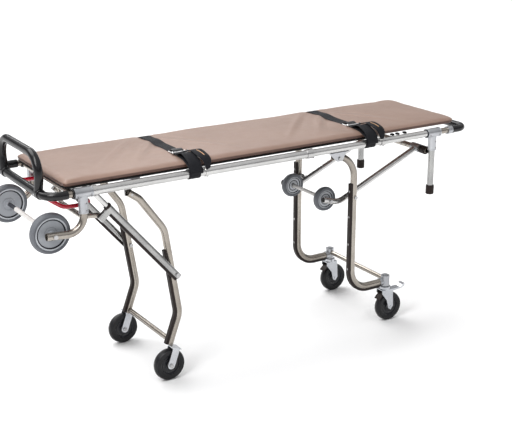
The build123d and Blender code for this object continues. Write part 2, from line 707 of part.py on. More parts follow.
rear_cross = round_bar((REAR_CLAMP_X, -CASTER_Y + 19, 190), (0, 1, 0), 2 * CASTER_Y - 38, 20, 16)
save("rear_leg_cross_tube", rear_cross)

with BuildPart() as clamps:
    for side in (-1, 1):
        y = side * CASTER_Y
        with BuildSketch(Plane(origin=(REAR_CLAMP_X, y, 162), z_dir=(0, 0, 1))):
            Circle(18.5)
        extrude(amount=46)
        with BuildSketch(Plane(origin=(REAR_CLAMP_X, y, 162), z_dir=(0, 0, 1))):
            Circle(8)
        extrude(amount=30, mode=Mode.SUBTRACT)
        with BuildSketch(Plane(origin=(REAR_CLAMP_X, y, 203), z_dir=(0, 0, 1))):
            Circle(11)
        extrude(amount=9)
        with BuildSketch(Plane(origin=(REAR_LEG_END_X - 10, side * REAR_LEG_Y, REAR_LEG_LOW_Z),
                               z_dir=(1, 0, 0))):
            Circle(17)
        extrude(amount=19)
        with BuildSketch(Plane(origin=(REAR_LEG_END_X - 12, side * REAR_LEG_Y, REAR_LEG_LOW_Z),
                               z_dir=(1, 0, 0))):
            Circle(LEG_OD / 2 + FIT)
        extrude(amount=12.5, mode=Mode.SUBTRACT)
save("rear_clamps", clamps)

with BuildPart() as latch_bolts:
    for side in (-1, 1):
        bolt_start = ARM_Y + ARM_OD / 2 + 2
        with BuildSketch(Plane(origin=(REAR_LEG_X, side * bolt_start, LATCH_Z), z_dir=(0, side, 0))):
            Circle(4.9)
        extrude(amount=REAR_LEG_Y + 18 - bolt_start)
        with BuildSketch(Plane(origin=(REAR_LEG_X, side * (REAR_LEG_Y + 14.3), LATCH_Z),
                               z_dir=(0, side, 0))):
            RegularPolygon(8.5, 6)
        extrude(amount=6)
        with BuildSketch(Plane(origin=(REAR_LEG_X, side * (REAR_LEG_Y - 14.3), LATCH_Z),
                               z_dir=(0, -side, 0))):
            Circle(8)
        extrude(amount=REAR_LEG_Y - 14.3 - bolt_start)
save("latch_bolts", latch_bolts)

# ---------------------------------------------------------------- rear swivel casters
for name, side in SIDES:
    y = side * CASTER_Y
    with BuildPart() as fork:
        with BuildSketch(Plane(origin=(REAR_CLAMP_X, y, 144), z_dir=(0, 0, 1))):
            RectangleRounded(56, 46, 10)
        extrude(amount=3)
        with BuildSketch(Plane(origin=(REAR_CLAMP_X, y, 147), z_dir=(0, 0, 1))):
            Circle(24)
        extrude(amount=12)
        with BuildSketch(Plane(origin=(REAR_CLAMP_X, y, 155), z_dir=(0, 0, 1))):
            Circle(7.95)
        extrude(amount=34)
        for plate_side in (-1, 1):
            with BuildSketch(upright(REAR_AXLE_X, y + plate_side * 20, CASTER_R)):
                with BuildLine():
                    Polyline((-47, 83), (9, 83), (13, 3), (0, -13), (-13, -3), (-22, 34), (-47, 66),
                             close=True)
                make_face()
                Circle(5 + FIT, mode=Mode.SUBTRACT)
            extrude(amount=1.5, both=True)
        with BuildSketch(upright(REAR_AXLE_X, y, CASTER_R)):
            Circle(5)
        extrude(amount=23, both=True)
        if name == "near":
            with BuildSketch(upright(PEDAL_PIVOT[0], y, PEDAL_PIVOT[1])):
                Circle(3)
            extrude(amount=21, both=True)
    with BuildPart() as guard:
        with BuildSketch(upright(REAR_AXLE_X, y, CASTER_R)):
            Circle(75)
            Circle(69, mode=Mode.SUBTRACT)
            with BuildLine():
                Polyline((0, 0), (-15, 90), (-90, 90), (-90, 62), close=True)
            make_face(mode=Mode.INTERSECT)
        extrude(amount=16, both=True)
    with BuildPart() as swivel:
        add(fork.part)
        add(guard.part)
    save(f"rear_swivel_{name}", swivel)
    tyre, hub = wheel(REAR_AXLE_X, y, CASTER_R, CASTER_R, CASTER_WIDTH, 44, 8, 10 + 2 * FIT)
    with BuildPart() as caster_wheel:
        add(tyre.part)
        add(hub.part)
    save(f"rear_wheel_{name}", caster_wheel)

with BuildPart() as pedal:
    with BuildSketch(upright(0, -CASTER_Y, 0)):
        with BuildLine():
            Polyline((610, 133.5), (632, 133.5), (674, 136), (692, 144), (694, 155), (688, 155),
                     (684, 149), (670, 142), (632, 142), (610, 142), close=True)
        make_face()
        with Locations(PEDAL_PIVOT):
            Circle(3 + FIT, mode=Mode.SUBTRACT)
    extrude(amount=15, both=True)
save("brake_pedal", pedal)

# ---------------------------------------------------------------- pusher arms and small wheels
for name, side in SIDES:
    arm = bent_tube(side_plane(side, ARM_Y), ARM_PATH, (ARM_BEND,), ARM_OD, ARM_OD - 4)
    with BuildPart() as pusher:
        add(arm.part)
        with BuildSketch(Plane(origin=(ARM_PIVOT[0], side * (ARM_Y - 24), ARM_PIVOT[1]), z_dir=(0, side, 0))):
            Circle(18)
        extrude(amount=52)
        with BuildSketch(Plane(origin=(ARM_PIVOT[0], side * (ARM_Y - 25), ARM_PIVOT[1]), z_dir=(0, side, 0))):
            Circle(12 + FIT)
        extrude(amount=60, mode=Mode.SUBTRACT)
        with BuildSketch(Plane(origin=(SMALL_AXLE[0], side * (ARM_Y - 30), SMALL_AXLE[1]), z_dir=(0, side, 0))):
            Circle(5)
        extrude(amount=60, mode=Mode.SUBTRACT)
    save(f"pusher_arm_{name}", pusher)

with BuildPart() as small_axle:
    with BuildSketch(Plane(origin=(SMALL_AXLE[0], -ARM_Y - 16, SMALL_AXLE[1]), z_dir=(0, 1, 0))):
        Circle(4.9)
    extrude(amount=2 * ARM_Y + 32)
    inner_face = SMALL_WHEEL_Y - SMALL_WHEEL_WIDTH / 2 - 1.5
    with BuildSketch(Plane(origin=(SMALL_AXLE[0], -inner_face, SMALL_AXLE[1]), z_dir=(0, 1, 0))):
        Circle(8)
    extrude(amount=2 * inner_face)
    for side in (-1, 1):
        start = side * (ARM_Y + ARM_OD / 2 + 0.3)
        with BuildSketch(Plane(origin=(SMALL_AXLE[0], start, SMALL_AXLE[1]), z_dir=(0, side, 0))):
            RegularPolygon(7.5, 6)
        extrude(amount=5)
save("small_axle", small_axle)

for name, side in SIDES:
    tyre, hub = wheel(SMALL_AXLE[0], side * SMALL_WHEEL_Y, SMALL_AXLE[1], SMALL_WHEEL_R,
                      SMALL_WHEEL_WIDTH, 37, 7, 10)
    with BuildPart() as small_wheel:
        add(tyre.part)
        add(hub.part)
    save(f"small_wheel_{name}", small_wheel)
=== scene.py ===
"""Looks of the folding stretcher trolley: materials, mattress, straps, wheels and small fittings.

Metres, Z up, +X to the foot end, near side -Y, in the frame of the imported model.
"""
import json
import math

import bmesh
import bpy
import numpy as np
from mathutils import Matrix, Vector
from mathutils.bvhtree import BVHTree


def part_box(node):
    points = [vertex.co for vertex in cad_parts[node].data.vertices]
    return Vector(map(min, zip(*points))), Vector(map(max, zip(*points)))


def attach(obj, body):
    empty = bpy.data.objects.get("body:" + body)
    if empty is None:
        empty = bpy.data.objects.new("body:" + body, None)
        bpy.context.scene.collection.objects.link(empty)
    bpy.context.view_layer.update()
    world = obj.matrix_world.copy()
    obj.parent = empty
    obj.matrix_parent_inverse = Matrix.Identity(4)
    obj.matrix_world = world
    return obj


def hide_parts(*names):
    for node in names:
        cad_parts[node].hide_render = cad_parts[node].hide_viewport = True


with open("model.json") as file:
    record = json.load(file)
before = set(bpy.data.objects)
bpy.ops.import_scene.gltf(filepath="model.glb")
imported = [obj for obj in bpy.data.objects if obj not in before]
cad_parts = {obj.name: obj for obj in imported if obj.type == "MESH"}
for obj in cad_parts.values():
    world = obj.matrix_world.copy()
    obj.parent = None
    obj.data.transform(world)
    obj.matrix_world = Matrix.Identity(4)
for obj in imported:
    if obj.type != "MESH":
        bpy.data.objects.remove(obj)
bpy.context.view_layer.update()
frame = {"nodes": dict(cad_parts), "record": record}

SIDES = (("near", -1), ("far", 1))
NODES = frame["nodes"]


# ------------------------------------------------------------------ places read from the frame
def centre_of(node):
    low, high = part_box(node)
    return (low + high) / 2


def size_of(node):
    low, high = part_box(node)
    return high - low


RAIL_Y = centre_of("side_rail_far").y
RAIL_Z = centre_of("side_rail_far").z
RAIL_R = 0.016  # load-end half of a side rail
INNER_RAIL_R = 0.014  # foot-end half, which goes into the other
LOAD_TEE_X = centre_of("load_end_tees").x
FOOT_TEE_X = centre_of("foot_end_tees").x
TEE_R = 0.019
TEE_HALF = 0.033  # half length of a tee along its rail
STEM_R = 0.0175
STEM_DROP = 0.0712  # from the rail's axis to the stem's lower end
ARM_PIVOT = centre_of("foot_cross_tube")
PAD_LOW, PAD_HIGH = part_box("mattress")
PAD_HIGH.x += 0.022  # the cover reaches past its CAD solid at the foot end
PAD_CORNERS = {1: 0.040, -1: 0.013}  # corner radius at the foot end and at the load end
PAD_WALL = 0.0175  # height of the foam at the pad's edge
PIPING = {"top": (0.0125, 0.0016), "bottom": (0.0032, 0.0019)}  # height over the pad's base, cord radius
WEBBING_HALF = 0.0245
WEBBING_THICK = 0.0021
WEBBING_RISE = 0.0017  # middle of the webbing over the pad that it lies on
STRAP_X = {end: centre_of(f"strap_{end}_end").x for end in ("load", "foot")}


# ------------------------------------------------------------------ materials
class Finish:
    """A node material built round one Principled shader, patterned in the trolley's own frame."""

    def __init__(self, name, **values):
        self.material = bpy.data.materials.new(name)
        self.material.use_nodes = True
        self.nodes = self.material.node_tree.nodes
        self.links = self.material.node_tree.links
        self.surface = self.nodes["Principled BSDF"]
        self.place = self.nodes.new("ShaderNodeTexCoord").outputs["Object"]
        for key, value in values.items():
            self.surface.inputs[key.replace("_", " ")].default_value = value

    def stretched(self, stretch):
        mapping = self.nodes.new("ShaderNodeMapping")
        mapping.inputs["Scale"].default_value = stretch
        self.links.new(self.place, mapping.inputs["Vector"])
        return mapping.outputs["Vector"]

    def noise(self, scale, detail=3.0, stretch=(1, 1, 1)):
        texture = self.nodes.new("ShaderNodeTexNoise")
        texture.inputs["Scale"].default_value = scale
        texture.inputs["Detail"].default_value = detail
        self.links.new(self.stretched(stretch), texture.inputs["Vector"])
        return texture.outputs["Fac"]

    def cells(self, scale, stretch=(1, 1, 1)):
        texture = self.nodes.new("ShaderNodeTexVoronoi")
        texture.inputs["Scale"].default_value = scale
        self.links.new(self.stretched(stretch), texture.inputs["Vector"])
        return texture.outputs["Distance"]

    def ribs(self, scale, direction):
        texture = self.nodes.new("ShaderNodeTexWave")
        texture.bands_direction = direction
        texture.inputs["Scale"].default_value = scale
        texture.inputs["Distortion"].default_value = 0.4
        self.links.new(self.place, texture.inputs["Vector"])
        return texture.outputs["Fac"]

    def ramp(self, factor, low, high, start=0.3, end=0.7):
        ramp = self.nodes.new("ShaderNodeValToRGB")
        ramp.color_ramp.elements[0].position = start
        ramp.color_ramp.elements[1].position = end
        ramp.color_ramp.elements[0].color = (*low, 1)
        ramp.color_ramp.elements[1].color = (*high, 1)
        self.links.new(factor, ramp.inputs["Fac"])
        return ramp.outputs["Color"]

    def colour(self, factor, low, high, start=0.3, end=0.7):
        self.links.new(self.ramp(factor, low, high, start, end), self.surface.inputs["Base Color"])

    def roughness(self, factor, low, high):
        spread = self.nodes.new("ShaderNodeMapRange")
        spread.inputs["To Min"].default_value = low
        spread.inputs["To Max"].default_value = high
        self.links.new(factor, spread.inputs["Value"])
        self.links.new(spread.outputs["Result"], self.surface.inputs["Roughness"])

    def add(self, first, second, share=1.0):
        scaled = self.nodes.new("ShaderNodeMath")
        scaled.operation = "MULTIPLY_ADD"
        scaled.inputs[1].default_value = share
        self.links.new(second, scaled.inputs[0])
        self.links.new(first, scaled.inputs[2])
        return scaled.outputs[0]

    def bump(self, height, strength, distance):
        bump = self.nodes.new("ShaderNodeBump")
        bump.inputs["Strength"].default_value = strength
        bump.inputs["Distance"].default_value = distance
        self.links.new(height, bump.inputs["Height"])
        self.links.new(bump.outputs["Normal"], self.surface.inputs["Normal"])


def metal(name, low, high, rough, grain=420, draw=(1, 1, 1), bump=0.06):
    """Metal with a faint drift of tone, worn gloss and a fine drawn or cast grain."""
    finish = Finish(name, Metallic=0.92)
    finish.colour(finish.noise(9, 4), low, high)
    fine = finish.noise(grain, 4, draw)
    finish.roughness(finish.add(finish.noise(35, 3), fine, 0.4), rough[0], rough[1])
    finish.bump(fine, bump, 0.0004)
    return finish.material


def polymer(name, low, high, rough, grain=500, bump=0.15, depth=0.0004, gloss=0.5):
    """Rubber or moulded plastic with a soft speckle and a matt moulded skin."""
    finish = Finish(name, Specular_IOR_Level=gloss)
    finish.colour(finish.noise(14, 4), low, high)
    skin = finish.add(finish.noise(grain, 2), finish.noise(grain / 6, 3), 0.6)
    finish.roughness(finish.noise(60, 3), rough[0], rough[1])
    finish.bump(skin, bump, depth)
    return finish.material


def vinyl_material(name, low, high):
    """Coated upholstery cloth: fine pebble grain, slow colour drift, slight satin sheen."""
    finish = Finish(name)
    drift = finish.add(finish.noise(3.5, 5), finish.noise(38, 4), 0.25)
    finish.colour(drift, low, high, 0.35, 0.9)
    grain = finish.add(finish.cells(620), finish.noise(240, 3), 0.5)
    finish.roughness(finish.noise(22, 4), 0.38, 0.52)
    finish.surface.inputs["Sheen Weight"].default_value = 0.25
    finish.surface.inputs["Sheen Roughness"].default_value = 0.45
    finish.surface.inputs["Sheen Tint"].default_value = (1.0, 0.93, 0.88, 1)
    finish.bump(grain, 0.22, 0.0005)
    return finish.material


def webbing_material():
    """Black polyester webbing with cross ribs and lengthwise cords."""
    finish = Finish("black_webbing", Roughness=0.62)
    ribs = finish.add(finish.ribs(170, "Y"), finish.ribs(110, "X"), 0.6)
    finish.colour(ribs, (0.0015, 0.0015, 0.0025), (0.009, 0.0095, 0.013), 0.2, 0.95)
    finish.surface.inputs["Specular IOR Level"].default_value = 0.2
    finish.surface.inputs["Sheen Weight"].default_value = 0.02
    finish.bump(ribs, 0.5, 0.0006)
    return finish.material


MATERIALS = {
    "rail_silver": metal("rail_silver", (0.52, 0.515, 0.51), (0.64, 0.635, 0.625), (0.16, 0.27),
                         160, (0.05, 4, 4)),
    "cast_silver": metal("cast_silver", (0.38, 0.39, 0.41), (0.52, 0.53, 0.55), (0.22, 0.34),
                         700, bump=0.25),
    "post_silver": metal("post_silver", (0.30, 0.30, 0.30), (0.44, 0.44, 0.43), (0.18, 0.30),
                         180, (4, 4, 0.05)),
    "anodised_tan": metal("anodised_tan", (0.285, 0.255, 0.222), (0.400, 0.368, 0.328), (0.17, 0.29), 380),
    "black_grip": polymer("black_grip", (0.003, 0.003, 0.004), (0.008, 0.008, 0.009), (0.16, 0.26),
                          300, 0.10, gloss=0.38),
    "bolt_steel": metal("bolt_steel", (0.34, 0.34, 0.35), (0.50, 0.50, 0.50), (0.18, 0.36), 600),
    "cream_plastic": polymer("cream_plastic", (0.60, 0.58, 0.56), (0.70, 0.68, 0.66), (0.35, 0.5)),
    "black_rubber": polymer("black_rubber", (0.012, 0.008, 0.007), (0.024, 0.016, 0.014), (0.4, 0.6),
                            380, 0.3, gloss=0.22),
    "black_panel": polymer("black_panel", (0.006, 0.006, 0.006), (0.014, 0.014, 0.014), (0.5, 0.7),
                           260, 0.4, gloss=0.2),
    "brown_vinyl": vinyl_material("brown_vinyl", (0.196, 0.116, 0.084), (0.272, 0.176, 0.136)),
    # darker copy of the brown vinyl: painted shade for the pad's sides and its piping
    "brown_edge": vinyl_material("brown_edge", (0.092, 0.044, 0.031), (0.136, 0.072, 0.053)),
    "black_webbing": webbing_material(),
    "buckle_steel": metal("buckle_steel", (0.66, 0.66, 0.67), (0.80, 0.80, 0.80), (0.12, 0.26), 500),
    "grey_tyre": polymer("grey_tyre", (0.092, 0.099, 0.112), (0.130, 0.137, 0.153), (0.5, 0.68), 320, 0.25),
    "grey_disc": polymer("grey_disc", (0.250, 0.265, 0.290), (0.300, 0.315, 0.340), (0.34, 0.48),
                         520, 0.12),
    "light_ring": polymer("light_ring", (0.42, 0.44, 0.47), (0.50, 0.52, 0.55), (0.3, 0.42), 520, 0.10),
    # near-black: the colour of the tee seals and axle spacers, and painted shade in the recesses of screw
    # heads, rivets, buckle knobs and wheel discs
    "dark_groove": polymer("dark_groove", (0.012, 0.014, 0.020), (0.03, 0.032, 0.040), (0.5, 0.7)),
    "black_tyre": polymer("black_tyre", (0.005, 0.005, 0.006), (0.012, 0.012, 0.014), (0.30, 0.46),
                          300, 0.25, gloss=0.3),
    "black_hub": polymer("black_hub", (0.008, 0.008, 0.010), (0.018, 0.018, 0.021), (0.22, 0.34),
                         520, 0.10, gloss=0.4),
    "zinc_plate": metal("zinc_plate", (0.46, 0.48, 0.51), (0.66, 0.67, 0.70), (0.12, 0.28), 260, bump=0.12),
    "red_paint": polymer("red_paint", (0.34, 0.002, 0.014), (0.50, 0.004, 0.024), (0.14, 0.24),
                         90, 0.05, gloss=0.4),
    "stitch_thread": polymer("stitch_thread", (0.62, 0.30, 0.12), (0.75, 0.52, 0.34), (0.6, 0.8), 900, 0.4),
}
MATERIALS["red_paint"].node_tree.nodes["Principled BSDF"].inputs["Coat Weight"].default_value = 0.6


# ------------------------------------------------------------------ making pieces
def piece(name, mesh, body, materials, replaces=(), sharp=32):
    """A shown piece on a body, with its materials, and edges kept crisp past an angle."""
    mesh.name = name
    made = bpy.data.objects.new(name, mesh)
    bpy.context.scene.collection.objects.link(made)
    for key in materials:
        mesh.materials.append(MATERIALS[key])
    for polygon in mesh.polygons:
        polygon.use_smooth = True
    mesh.set_sharp_from_angle(angle=math.radians(sharp))
    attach(made, body)
    if replaces:
        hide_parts(*replaces)
    return made


def mesh_from(vertices, faces, tones=None):
    mesh = bpy.data.meshes.new("mesh")
    mesh.from_pydata([tuple(v) for v in vertices], [], faces)
    if tones:
        mesh.polygons.foreach_set("material_index", tones)
    mesh.update()
    return mesh


def joined(meshes):
    """One mesh out of several, with their material indices kept."""
    work = bmesh.new()
    for mesh in meshes:
        work.from_mesh(mesh)
        bpy.data.meshes.remove(mesh)
    mesh = bpy.data.meshes.new("mesh")
    work.to_mesh(mesh)
    work.free()
    return mesh


def turned(profile, centre, axis, steps=64, tones=None):
    """A closed ring or solid from (radius, distance along the axis) points, going round the profile."""
    axis = Vector(axis).normalized()
    across = axis.orthogonal().normalized()
    other = axis.cross(across)
    count = len(profile)
    vertices, faces, kinds = [], [], []
    for step in range(steps):
        angle = 2 * math.pi * step / steps
        out = across * math.cos(angle) + other * math.sin(angle)
        vertices += [centre + out * radius + axis * along for radius, along in profile]
    closed = min(radius for radius, _ in profile) > 1e-5
    for step in range(steps):
        here, there = step * count, (step + 1) % steps * count
        for row in range(count if closed else count - 1):
            after = (row + 1) % count
            faces.append((here + row, here + after, there + after, there + row))
            kinds.append(tones[row] if tones else 0)
    mesh = mesh_from(vertices, faces, kinds)
    tidy = bmesh.new()
    tidy.from_mesh(mesh)
    bmesh.ops.remove_doubles(tidy, verts=tidy.verts, dist=1e-6)
    bmesh.ops.recalc_face_normals(tidy, faces=tidy.faces)
    tidy.to_mesh(mesh)
    tidy.free()
    return mesh


def smooth_route(points, fineness=6):
    """Points of a Catmull-Rom line through the given points."""
    knots = [Vector(p) for p in points]
    knots = [knots[0] * 2 - knots[1], *knots, knots[-1] * 2 - knots[-2]]
    line = []
    for a, b, c, d in zip(knots, knots[1:], knots[2:], knots[3:]):
        for step in range(fineness):
            t = step / fineness
            line.append(0.5 * (2 * b + (c - a) * t + (2 * a - 5 * b + 4 * c - d) * t * t
                               + (3 * b - a - 3 * c + d) * t ** 3))
    line.append(knots[-2])
    return line


def swept(line, outline, across, closed=False):
    """A section carried along a line: outline is (sideways, outward) points, sideways along across."""
    across = Vector(across).normalized()
    count, vertices, faces = len(outline), [], []
    for index, point in enumerate(line):
        before = line[index - 1] if index or closed else point
        after = line[(index + 1) % len(line)] if index + 1 < len(line) or closed else point
        outward = (after - before).cross(across).normalized()
        vertices += [point + across * side + outward * rise for side, rise in outline]
    spans = len(line) if closed else len(line) - 1
    for index in range(spans):
        here, there = index * count, (index + 1) % len(line) * count
        for corner in range(count):
            after = (corner + 1) % count
            faces.append((here + corner, here + after, there + after, there + corner))
    if not closed:
        faces.append(tuple(range(count)))
        faces.append(tuple(reversed(range((len(line) - 1) * count, len(line) * count))))
    mesh = mesh_from(vertices, faces)
    tidy = bmesh.new()
    tidy.from_mesh(mesh)
    bmesh.ops.recalc_face_normals(tidy, faces=tidy.faces)
    tidy.to_mesh(mesh)
    tidy.free()
    return mesh


def round_outline(radius, sides=12):
    return [(radius * math.cos(2 * math.pi * k / sides), radius * math.sin(2 * math.pi * k / sides))
            for k in range(sides)]


def band_outline(width, thick):
    """Flat band with rounded edges."""
    w, t = width / 2, thick / 2
    return [(-w, 0), (-w + t, t), (-w * 0.5, t * 1.1), (0, t), (w * 0.5, t * 1.1), (w - t, t), (w, 0),
            (w - t, -t), (0, -t), (-w + t, -t)]


def dome(radius, height, centre, axis, recess=0.4):
    """Domed screw or rivet head with a shallow central recess."""
    slot = radius * recess
    profile = [(radius, -height * 0.3), (radius, height * 0.15), (radius * 0.86, height * 0.6),
               (radius * 0.7, height * 0.9), (slot * 1.2, height), (slot, height * 0.5),
               (0.0, height * 0.4)]
    # the recess faces take material index 1, the near-black: painted shade
    return turned(profile, Vector(centre), axis, 20, [0, 0, 0, 0, 1, 1])


def ring(radius, thick, width, centre, axis, steps=48):
    """Rounded ring round a tube."""
    r, half, edge = radius, width / 2, min(thick, width) * 0.3
    profile = [(r, -half), (r + thick - edge, -half), (r + thick, -half + edge), (r + thick, half - edge),
               (r + thick - edge, half), (r, half)]
    return turned(profile, Vector(centre), axis, steps)


# ------------------------------------------------------------------ carried-over CAD nodes
def paint(node, key, others=()):
    """Gives a CAD node its material, and other materials to the faces that a test picks."""
    mesh = NODES[node].data
    mesh.materials.clear()
    for name in (key, *(name for name, _ in others)):
        mesh.materials.append(MATERIALS[name])
    for polygon in mesh.polygons:
        polygon.material_index = 0
        for index, (_, test) in enumerate(others):
            if test(polygon.center):
                polygon.material_index = index + 1


def soften(node, width):
    """Small rounded edges on a sheet-metal or cast CAD node."""
    bevel = NODES[node].modifiers.new("edges", "BEVEL")
    bevel.width = width
    bevel.segments = 2
    bevel.limit_method = "ANGLE"
    bevel.angle_limit = math.radians(35)
    bevel.harden_normals = True


def off_rail(point):
    return math.hypot(abs(point.y) - RAIL_Y, point.z - RAIL_Z)


def paint_cad_nodes():
    for entry in frame["record"]["subparts"]:
        if entry["material_slot"] in MATERIALS:
            paint(entry["node"], entry["material_slot"])
    paint("posts", "post_silver")
    collar = lambda p: off_rail(p) > 0.0135
    paint("foot_handle_tubes", "anodised_tan", (("cast_silver", collar),))
    inner = lambda p: off_rail(p) < 0.0128 and p.x > -0.875
    paint("load_handle_bar", "black_grip", (("anodised_tan", inner),))
    spacer = lambda p: abs(p.y) > 0.1181
    paint("load_axle_sleeves", "cream_plastic", (("dark_groove", spacer),))
    steel_end = lambda p: abs(p.y) > 0.1035
    paint("small_axle", "cream_plastic", (("bolt_steel", steel_end),))
    sleeve = lambda p: math.hypot(p.x - ARM_PIVOT.x, p.z - ARM_PIVOT.z) < 0.0185
    for name, _ in SIDES:
        paint(f"pusher_arm_{name}", "rail_silver", (("cast_silver", sleeve),))
        paint(f"strut_outer_{name}", "post_silver")
        axle = centre_of(f"rear_wheel_{name}")
        guard = lambda p: math.hypot(p.x - axle.x, p.z - axle.z) > 0.0685 and p.x < axle.x - 0.01 \
            and abs(p.y - axle.y) < 0.0175 and p.z < 0.1395
        paint(f"rear_swivel_{name}", "zinc_plate", (("black_rubber", guard),))
        soften(f"front_fork_{name}", 0.0011)
    for node in ("rear_clamps", "leg_brackets", "brake_pedal"):
        soften(node, 0.0009)


# ------------------------------------------------------------------ wheels
def wheel(node, body, tyre, look, bolt):
    """Tyre, rim rings, dished disc and bearing boss, turned about the wheel's own axle.

    tyre is its width, bolt the radius of its axle bolt; look gives the materials, the share of the
    radius that is hub, where the disc's groove lies, and the material index of the groove's inner side.
    """
    centre, radius, half = centre_of(node), size_of(node).x / 2, tyre / 2
    hub, groove = radius * look["hub"], look["inner"]
    crown = [(hub, -half * 0.86), (hub + (radius - hub) * 0.35, -half), (radius * 0.93, -half * 0.93)]
    crown += [(radius - half * 0.55 * (1 - math.cos(a)), half * 0.9 * math.sin(a))
              for a in (math.radians(d) for d in (-62, -40, -20, 0, 20, 40, 62))]
    crown += [(r, -s) for r, s in reversed(crown[:3])]
    face = half * 0.62
    boss, dish = face + half * 0.36, face * 0.9
    groove_floor, seat_floor = dish - 0.0018, face - 0.0024
    steps = [(bolt, boss), (bolt * 1.9, boss), (bolt * 2.1, face + half * 0.22), (bolt * 2.3, face * 0.92),
             (hub * groove, dish), (hub * (groove + 0.015), groove_floor),
             (hub * (groove + 0.075), groove_floor), (hub * (groove + 0.09), dish),
             (hub * 0.82, face), (hub * 0.83, seat_floor), (hub * 0.895, seat_floor),
             (hub * 0.905, half * 0.80), (hub * 0.97, half * 0.86), (hub * 0.999, half * 0.80)]
    profile = [(r, -s) for r, s in steps] + [(r, s) for r, s in reversed(steps)]
    # index 2, the near-black, darkens the disc's seat recess and, where inner_tone is 2, its groove:
    # painted shade
    half_tones = [3, 3, 3, 0, look["inner_tone"], look["inner_tone"], look["inner_tone"], 0, 2, 2, 2, 1, 1]
    tones = half_tones + [1] + list(reversed(half_tones)) + [3]
    tread = turned(crown, centre, (0, 1, 0), 96)
    piece(f"{node}_tyre", tread, body, (look["tyre"],), replaces=(node,))
    rim = turned(profile, centre, (0, 1, 0), 72, tones)
    shades = (look["disc"], look["ring"], look["groove"], look["boss"])
    piece(f"{node}_disc", rim, body, shades)


def build_wheels():
    grey = {"tyre": "grey_tyre", "disc": "grey_disc", "ring": "light_ring", "groove": "dark_groove",
            "boss": "grey_disc", "hub": 0.80, "slot": "grey_tyre", "inner": 0.34, "inner_tone": 0}
    black = {"tyre": "black_tyre", "disc": "black_hub", "ring": "black_hub", "groove": "dark_groove",
             "boss": "bolt_steel", "hub": 0.66, "slot": "black_tyre", "inner": 0.5, "inner_tone": 2}
    small = {**grey, "disc": "light_ring", "boss": "bolt_steel", "hub": 0.74, "inner": 0.52,
             "inner_tone": 2}
    kinds = (("load_wheel", 0.036, grey), ("small_wheel", 0.026, small),
             ("front_wheel", 0.032, black), ("rear_wheel", 0.032, black))
    for name, _ in SIDES:
        for kind, tyre, look in kinds:
            wheel(f"{kind}_{name}", f"{kind}_{name}", tyre, look, bolt=0.0052)


# ------------------------------------------------------------------ mattress
def crown_height(x, y):
    """Top of the pad at a place, before its cover swells: highest along the middle."""
    middle = (PAD_LOW + PAD_HIGH) / 2
    u = min(1.0, abs(x - middle.x) / ((PAD_HIGH.x - PAD_LOW.x) / 2))
    v = min(1.0, abs(y - middle.y) / ((PAD_HIGH.y - PAD_LOW.y) / 2))
    crown, drop, drop_width = 0.0050, 0.0085, 0.026
    inside = min(PAD_HIGH.y - y, y - PAD_LOW.y, PAD_HIGH.x - x, x - PAD_LOW.x)
    shoulder = drop * max(0.0, 1 - inside / drop_width) ** 2
    return crown * (1 - v ** 2.6) * (1 - u ** 14) ** 0.5 - shoulder


def pad_blank():
    """The pad's foam as a plain slab with rounded upright corners, a little smaller than its cover."""
    inset, arc_steps = 0.007, 6
    low, high = PAD_LOW + Vector((inset, inset, 0)), PAD_HIGH - Vector((inset, inset, 0))
    corners = ((high.x, high.y, 0), (low.x, high.y, 90), (low.x, low.y, 180), (high.x, low.y, 270))
    outline = []
    for cx, cy, start in corners:
        corner = PAD_CORNERS[round(math.copysign(1, cx))]
        in_x, in_y = (cx - math.copysign(corner, cx), cy - math.copysign(corner, cy))
        for k in range(arc_steps + 1):
            angle = math.radians(start + 90 * k / arc_steps)
            outline.append((in_x + corner * math.cos(angle), in_y + corner * math.sin(angle)))
    base, top = PAD_LOW.z + 0.0004, PAD_LOW.z + PAD_WALL
    count = len(outline)
    vertices = [(x, y, base) for x, y in outline] + [(x, y, top) for x, y in outline]
    faces = [tuple(reversed(range(count))), tuple(range(count, 2 * count))]
    faces += [(k, (k + 1) % count, count + (k + 1) % count, count + k) for k in range(count)]
    return mesh_from(vertices, faces)


def read_points(mesh):
    points = np.empty(len(mesh.vertices) * 3)
    mesh.vertices.foreach_get("co", points)
    return points.reshape(-1, 3)


def swell(shape, cap, pressure=4.0, frames=20):
    """Lets air pressure fill a closed cover, no point moving further than cap."""
    rest = read_points(shape.data)
    cloth = shape.modifiers.new("cover", "CLOTH")
    cloth.settings.quality = 4
    cloth.settings.use_pressure = True
    cloth.settings.uniform_pressure_force = pressure
    cloth.settings.effector_weights.gravity = 0
    for number in range(1, frames + 1):
        bpy.context.scene.frame_set(number)
    settled = shape.evaluated_get(bpy.context.evaluated_depsgraph_get()).to_mesh()
    moved = read_points(settled) - rest
    shape.modifiers.remove(cloth)
    bpy.context.scene.frame_set(1)
    reach = np.linalg.norm(moved, axis=1, keepdims=True)
    return rest + moved * np.minimum(1.0, cap / np.maximum(reach, 1e-9))


def creases(points):
    """Shallow folds of the cover: strap dents, pulls that fan out from them, and slow waves."""
    folds = ((-0.11, 0.72, 0.0060), (-0.24, 0.88, 0.0045), (0.13, -0.62, 0.0030))
    x, y = points[:, 0], points[:, 1]
    depth = 0.0009 * np.sin(x * 11 + 2.1 * np.sin(y * 7)) + 0.0006 * np.sin(x * 23 - y * 9)
    for index, strap_x in enumerate(STRAP_X.values()):
        away = x - strap_x
        depth -= 0.0042 * np.exp(-(away / 0.034) ** 2)
        fan = np.sin((away * 38 - (y + 0.16) * 22 * np.sign(away)) + index)
        near = np.exp(-((np.abs(away) - 0.075) / 0.07) ** 2) * np.exp(-((y + 0.12) / 0.13) ** 2)
        depth += 0.0020 * fan * near
        for start, slope, strength in folds:
            line = away - start - slope * (y + 0.02)
            ridge = np.exp(-(line / 0.020) ** 2)
            valley = np.exp(-((line - 0.036) / 0.024) ** 2)
            along = np.exp(-((y - 0.03) / 0.13) ** 2)
            depth += strength * (ridge - 0.6 * valley) * along
    return depth


